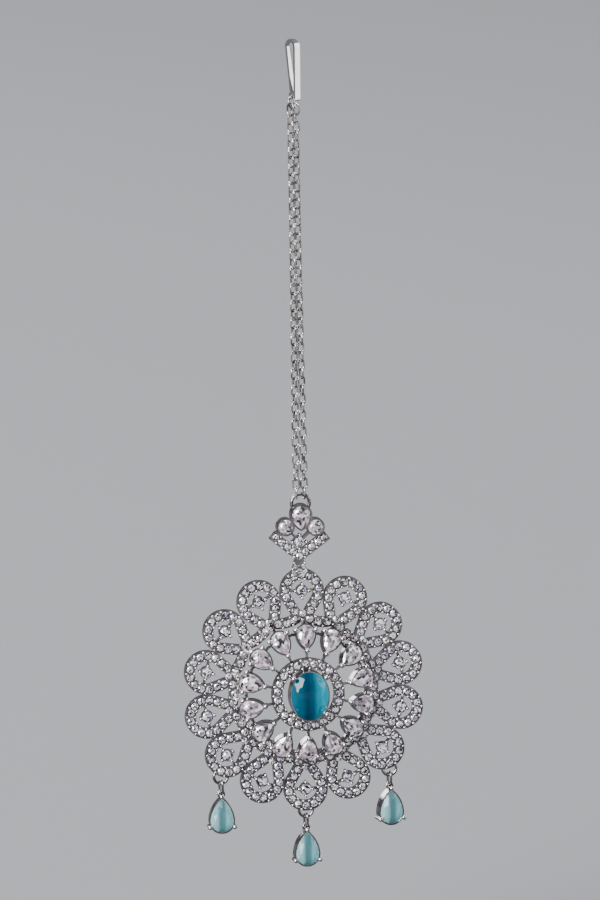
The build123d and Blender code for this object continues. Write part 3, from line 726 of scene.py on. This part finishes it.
# %% Scallop rows
scallop_at = 20.55
scallop_line = 5.9
scallop_stones = 5
pave_places, bead_places = [], []
half_step = radians(180 / petal_count)
scallop_span = 2 * (asin(scallop_at * sin(half_step) / scallop_line) - half_step)
for number in range(petal_count):
    middle = radians(90 - (number + 0.5) * 360 / petal_count)
    steps = []
    for k in range(scallop_stones):
        angle = middle + pi + scallop_span * (k / (scallop_stones - 1) - 0.5)
        steps.append((scallop_at * cos(middle) + scallop_line * cos(angle),
                      scallop_at * sin(middle) + scallop_line * sin(angle), degrees(angle) + 90))
    stones, beads = row_places(steps)
    pave_places += stones[:-1]      # the last one is the next row's first
    bead_places += beads
scallop_pave = put(pave_model, pave_places, "scallop_pave")
paint_facet_glints(scallop_pave, 9)
dress(scallop_pave, white_stone, "pendant")
scallop_beads = put(bead_model, bead_places, "scallop_beads")
dress(scallop_beads, bead_silver, "pendant")

# %% [markdown]
# The inner ring stands higher, at the top of the dome, and its row closes on itself.

# %% Inner ring
ring_line = 6.575
ring_stones = 23
steps = [(ring_line * cos(2 * pi * k / ring_stones), ring_line * sin(2 * pi * k / ring_stones),
          360 * k / ring_stones + 90) for k in range(ring_stones)]
ring_depth = 5.4
stones, beads = row_places(steps, ring_depth, closed=True)
ring_pave = put(pave_model, stones, "inner_ring_pave")
paint_facet_glints(ring_pave, 13)
dress(ring_pave, white_stone, "pendant")
ring_beads = put(bead_model, beads, "inner_ring_beads")
dress(ring_beads, bead_silver, "pendant")

# %% [markdown]
# The two bars of the crown's V carry a row each, which meet above the V's point, and the
# neck below them a few stones more.

# %% Crown rows
vee_angle = atan2(5.0, 6.4)
vee_middle = 1.05           # from the V's point up to the middle of its bars
crown_pitch = 1.62
bar_stones = 5
bar_bead_aside, bar_bead_lift = 0.8, 0.1
neck_depth = 0.3
neck_stones = ((-0.82, -0.75, 0.62), (0.82, -0.75, 0.62), (0, -1.75, 0.74),
               (-1.12, -2.0, 0.62), (1.12, -2.0, 0.62))     # across, up, size beside a pave stone
neck_beads = ((-1.15, -0.05), (1.15, -0.05), (-1.42, -1.4), (1.42, -1.4))
places, beads = [], []
for sign in (1, -1):
    along = crown_right * sign * cos(vee_angle) + crown_up * sin(vee_angle)
    outward = crown_right * -sign * sin(vee_angle) + crown_up * cos(vee_angle)
    start = on_crown(0, vee_middle / cos(vee_angle), stone_depth)
    for k in range(bar_stones):
        if k or sign > 0:
            places.append(place_of(start + along * (k * crown_pitch) * mm, along, front))
        if k < bar_stones - 1:
            for side in (1, -1):
                step = along * (k + 0.5) * crown_pitch + outward * side * bar_bead_aside
                spot = start + (step + front * bar_bead_lift) * mm
                beads.append(place_of(spot, along, front))
for x, y, size in neck_stones:
    places.append(place_of(on_crown(x, y, neck_depth), crown_right, front, size))
for x, y in neck_beads:
    beads.append(place_of(on_crown(x, y, neck_depth), crown_right, front))
crown_pave = put(pave_model, places, "crown_pave")
paint_facet_glints(crown_pave, 17)
dress(crown_pave, white_stone, "pendant")
crown_beads = put(bead_model, beads, "crown_beads")
dress(crown_beads, bead_silver, "pendant")
put_away(pave_model)
put_away(bead_model)

# %% [markdown]
# ## Cat's-eye stones
# The centre stone and the three drops are coloured glass whose fine fibres gather the
# light. Over the stone's own colour the finish paints light and shade: painted shade makes
# a dark band down the middle, painted light brightens the colour to one side, and a
# painted reflection lightens the other edge. The band could be a texture, but here each
# corner of the stone simply keeps how far across the stone it stands, and the finish reads
# that number through a colour ramp.

# %% Cat's-eye finish
def painted_cats_eye(name, colour_and_painted_light, clear):
    """Coloured glass with painted light and shade across it, read from the across attribute."""
    waver = 0.10            # how far the fibres push the edges of the band to and fro
    finish, tree, shader = new_finish(name)
    across = tree.nodes.new("ShaderNodeAttribute")
    across.attribute_name = "across"
    ramp = tree.nodes.new("ShaderNodeValToRGB")
    ramp.color_ramp.interpolation = "EASE"
    while len(ramp.color_ramp.elements) < len(colour_and_painted_light):
        ramp.color_ramp.elements.new(0.5)
    for element, (position, colour) in zip(ramp.color_ramp.elements, colour_and_painted_light):
        element.position = position
        element.color = (*colour, 1)
    fibre = tree.nodes.new("ShaderNodeTexCoord")
    stretch = tree.nodes.new("ShaderNodeMapping")
    stretch.inputs["Scale"].default_value = (4000, 4000, 250)
    silk = tree.nodes.new("ShaderNodeTexNoise")
    silk.inputs["Scale"].default_value = 1.0
    shift = tree.nodes.new("ShaderNodeMath")
    shift.operation = "MULTIPLY_ADD"
    shift.inputs[1].default_value = waver
    total = tree.nodes.new("ShaderNodeMath")
    total.operation = "ADD"
    total.inputs[1].default_value = -waver / 2
    tree.links.new(fibre.outputs["Object"], stretch.inputs["Vector"])
    tree.links.new(stretch.outputs[0], silk.inputs["Vector"])
    tree.links.new(silk.outputs["Fac"], shift.inputs[0])
    tree.links.new(across.outputs["Fac"], shift.inputs[2])
    tree.links.new(shift.outputs[0], total.inputs[0])
    tree.links.new(total.outputs[0], ramp.inputs[0])
    tree.links.new(ramp.outputs[0], shader.inputs["Base Color"])
    tree.links.new(ramp.outputs[0], shader.inputs["Emission Color"])
    # The glow is painted light in the ramp's colour.
    shader.inputs["Emission Strength"].default_value = 0.4
    shader.inputs["Transmission Weight"].default_value = clear
    shader.inputs["Roughness"].default_value = 0.05
    shader.inputs["IOR"].default_value = 1.42
    shader.inputs["Coat Weight"].default_value = 0.08
    shader.inputs["Coat Roughness"].default_value = 0.02
    return finish


# Each list runs across the stone: a painted reflection, painted shade in the middle, then painted
# light, over the stone's own colour.
teal_stone = painted_cats_eye("teal_stone", [(0.0, (0.0, 0.09, 0.14)), (0.22, (0.0, 0.06, 0.10)),
                                     (0.42, (0.0, 0.026, 0.055)), (0.54, (0.0, 0.045, 0.08)),
                                     (0.72, (0.0, 0.18, 0.26)), (0.90, (0.0, 0.38, 0.50))], 0.1)
aqua_stone = painted_cats_eye("aqua_stone", [(0.0, (0.24, 0.42, 0.44)), (0.26, (0.17, 0.33, 0.35)),
                                     (0.42, (0.05, 0.135, 0.15)), (0.56, (0.06, 0.165, 0.18)),
                                     (0.74, (0.165, 0.40, 0.44)), (1.0, (0.30, 0.59, 0.63))], 0.1)


def measure_across(piece, right_side):
    """Keep, on each corner, how far across the piece it stands, from 0 to 1."""
    reach = [vertex.co.dot(right_side) for vertex in piece.data.vertices]
    span = max(reach) - min(reach)
    across = piece.data.attributes.new("across", "FLOAT", "POINT")
    for item, value in zip(across.data, reach):
        item.value = (value - min(reach)) / span


# %% [markdown]
# ## The centre stone
# An oval stone, eight by ten, cut with two belts of facets round a broad table that is
# domed so slightly that it shades as one smooth face.

# %% Centre stone
def belts(step):
    """Girdle, two belts of facets and a domed table, on every step-th corner."""
    half = step // 2
    return [(0.94, -0.2, 0, 1), (1, -0.03, 0, 1), (1, 0.04, 0, 1), (0.83, 0.24, half, step),
            (0.64, 0.36, 0, step), (0.50, 0.395, 0, half), (0.30, 0.425, 0, half),
            (0.12, 0.435, 0, half)]


def cushioned(name, points, radius, step):
    """A coloured stone with belts of facets and a broad, slightly domed table."""
    rings = [(scale, rise * radius, first, skip) for scale, rise, first, skip in belts(step)]
    stone = cut_stone(name, points, rings, -0.30 * radius)
    bpy.ops.object.shade_smooth_by_angle(angle=radians(8))
    return stone


oval_wide, oval_tall, oval_corners = 3.93, 5.09, 32
oval_radius, oval_depth = 3.95, 7.4
oval = [(oval_wide * cos(2 * pi * k / oval_corners), oval_tall * sin(2 * pi * k / oval_corners))
        for k in range(oval_corners)]
centre_model = cushioned("centre_model", oval, oval_radius, 4)
centre_gem = put(centre_model, [place_of(at(0, 0, oval_depth), rightward, front)], "centre_gem")
measure_across(centre_gem, rightward)
dress(centre_gem, teal_stone, "pendant")
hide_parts("centre_stone")
put_away(centre_model)

# %% [markdown]
# ## The drops
# Three pears hang from staples under the rosette. Each turns a little on its ring, as a
# free drop does, so each shows another side to the light.

# %% Drop stones
drop_turns = {"left": -3.0, "middle": 2.0, "right": 9.0}
drop_radius, drop_tip = 2.43, 4.7
staple_depth = -0.6         # a drop turns about its staple, a little behind the rosette's face
girdle_reach = 1.1          # and its girdle stands this far before the staple
drop_outline = pear_points(drop_radius * stone_width, drop_tip * stone_width, 9, 3)
drop_model = cushioned("drop_model", drop_outline, drop_radius, 2)
drop_places = {}
for side, turned in drop_turns.items():
    spin = radians(turned)
    facing_out = Vector((sin(spin), -cos(spin), 0))
    facing_right = Vector((cos(spin), sin(spin), 0))
    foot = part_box(f"drop_stone_{side}")[0].z
    axis_x = middle_of(f"drop_link_{side}").x
    round_centre = Vector((axis_x, -staple_depth * mm, foot + drop_radius * mm))
    drop_places[side] = (round_centre, facing_right, facing_out)
    place = place_of(round_centre + facing_out * girdle_reach * mm, Vector((0, 0, -1)), facing_out)
    stone = put(drop_model, [place], f"drop_gem_{side}")
    measure_across(stone, facing_right)
    dress(stone, aqua_stone, "pendant")
    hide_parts(f"drop_stone_{side}")
put_away(drop_model)

# %% [markdown]
# ## Claws
# A claw is a wire soldered to the cup and pressed over the stone, then burnished to a
# round head. The solids end it flat. One head is shaped from a ball, flattened and given a
# short neck, and then set on every claw at the claw's own size.

# %% One claw head
ball_radius, head_height = 1.29, 1.1
head_cut, head_neck = 0.55, 0.3     # below the ball's middle, and the neck drawn down from there
head_sink = 0.67                    # so that the head's seat lies at its origin
nothing_selected()
bpy.ops.mesh.primitive_uv_sphere_add(segments=14, ring_count=9, radius=ball_radius * mm)
head_model = bpy.context.object
bpy.ops.object.mode_set(mode="EDIT")
bpy.ops.mesh.select_all(action="SELECT")
bpy.ops.transform.resize(value=(1, 1, head_height / ball_radius))
bpy.ops.mesh.bisect(plane_co=(0, 0, -head_cut * mm), plane_no=(0, 0, 1), use_fill=True,
                    clear_inner=True)
bpy.ops.mesh.extrude_region_move(TRANSFORM_OT_translate={"value": (0, 0, -head_neck * mm)})
bpy.ops.mesh.select_all(action="SELECT")
bpy.ops.mesh.normals_make_consistent(inside=False)
bpy.ops.transform.translate(value=(0, 0, -head_sink * mm))
bpy.ops.object.mode_set(mode="OBJECT")
bpy.ops.object.shade_smooth_by_angle(angle=radians(50))

# %% Claw heads on every setting
small_claw_at, small_claw_depth, small_claw_size = 1.44, 0.5, 0.28
pear_claw_lift, pear_claw_size = 0.65, 0.42
pear_claws_at = ((-3.62, 0), (0.766, 2.105), (0.766, -2.105))   # down the slope, and across it
crown_small_up = 4.37
centre_claw_x, centre_claw_z, centre_claw_depth, centre_claw_size = 3.45, 3.9, 8.4, 0.45
drop_claw_lift, drop_claw_size = 1.75, 0.38
drop_claws_at = ((64, 2.87), (-64, 2.87), (180, 5.16))          # degrees from the foot, and reach

petal_heads, pear_heads = [], []
for number in range(petal_count):
    centre = middle_of(f"petal_stone_{number + 1:02d}")
    centre.y = 0
    outward = spoke(number)
    across = front.cross(outward)
    for direction in (outward, across, -outward, -across):
        spot = centre + (direction * small_claw_at + front * small_claw_depth) * mm
        petal_heads.append(place_of(spot, direction, front, small_claw_size))
    for along, aside in pear_claws_at:
        pear_heads.append(pear_place(number, pear_claw_lift, along, aside)
                          @ Matrix.Scale(pear_claw_size, 4))
crown_heads = []
for x, y in ((1, 0), (-1, 0), (0, 1), (0, -1)):
    spot = on_crown(x * small_claw_at, crown_small_up + y * small_claw_at, small_claw_depth)
    crown_heads.append(place_of(spot, crown_right, front, small_claw_size))
centre_heads = []
for x in (1, -1):
    for z in (1, -1):
        spot = at(x * centre_claw_x, z * centre_claw_z, centre_claw_depth)
        centre_heads.append(place_of(spot, Vector((x, 0, z)), front, centre_claw_size))
petal_claws = put(head_model, petal_heads, "petal_claws")
pear_claws = put(head_model, pear_heads, "pear_claws")
crown_claws = put(head_model, crown_heads, "crown_claws")
centre_claws = put(head_model, centre_heads, "centre_claws")
for piece in (petal_claws, pear_claws, crown_claws, centre_claws):
    dress(piece, bead_silver, "pendant")
drop_heads = []
for round_centre, facing_right, facing_out in drop_places.values():
    for angle, reach in drop_claws_at:
        spot = round_centre + facing_out * drop_claw_lift * mm
        spot += facing_right * sin(radians(angle)) * reach * mm
        spot -= Vector((0, 0, 1)) * cos(radians(angle)) * reach * mm
        drop_heads.append(place_of(spot, facing_right, facing_out, drop_claw_size))
drop_claws = put(head_model, drop_heads, "drop_claws")
dress(drop_claws, bead_silver, "pendant")
put_away(head_model)

# %% [markdown]
# ## Finish

# %% Finish
print("scene built")
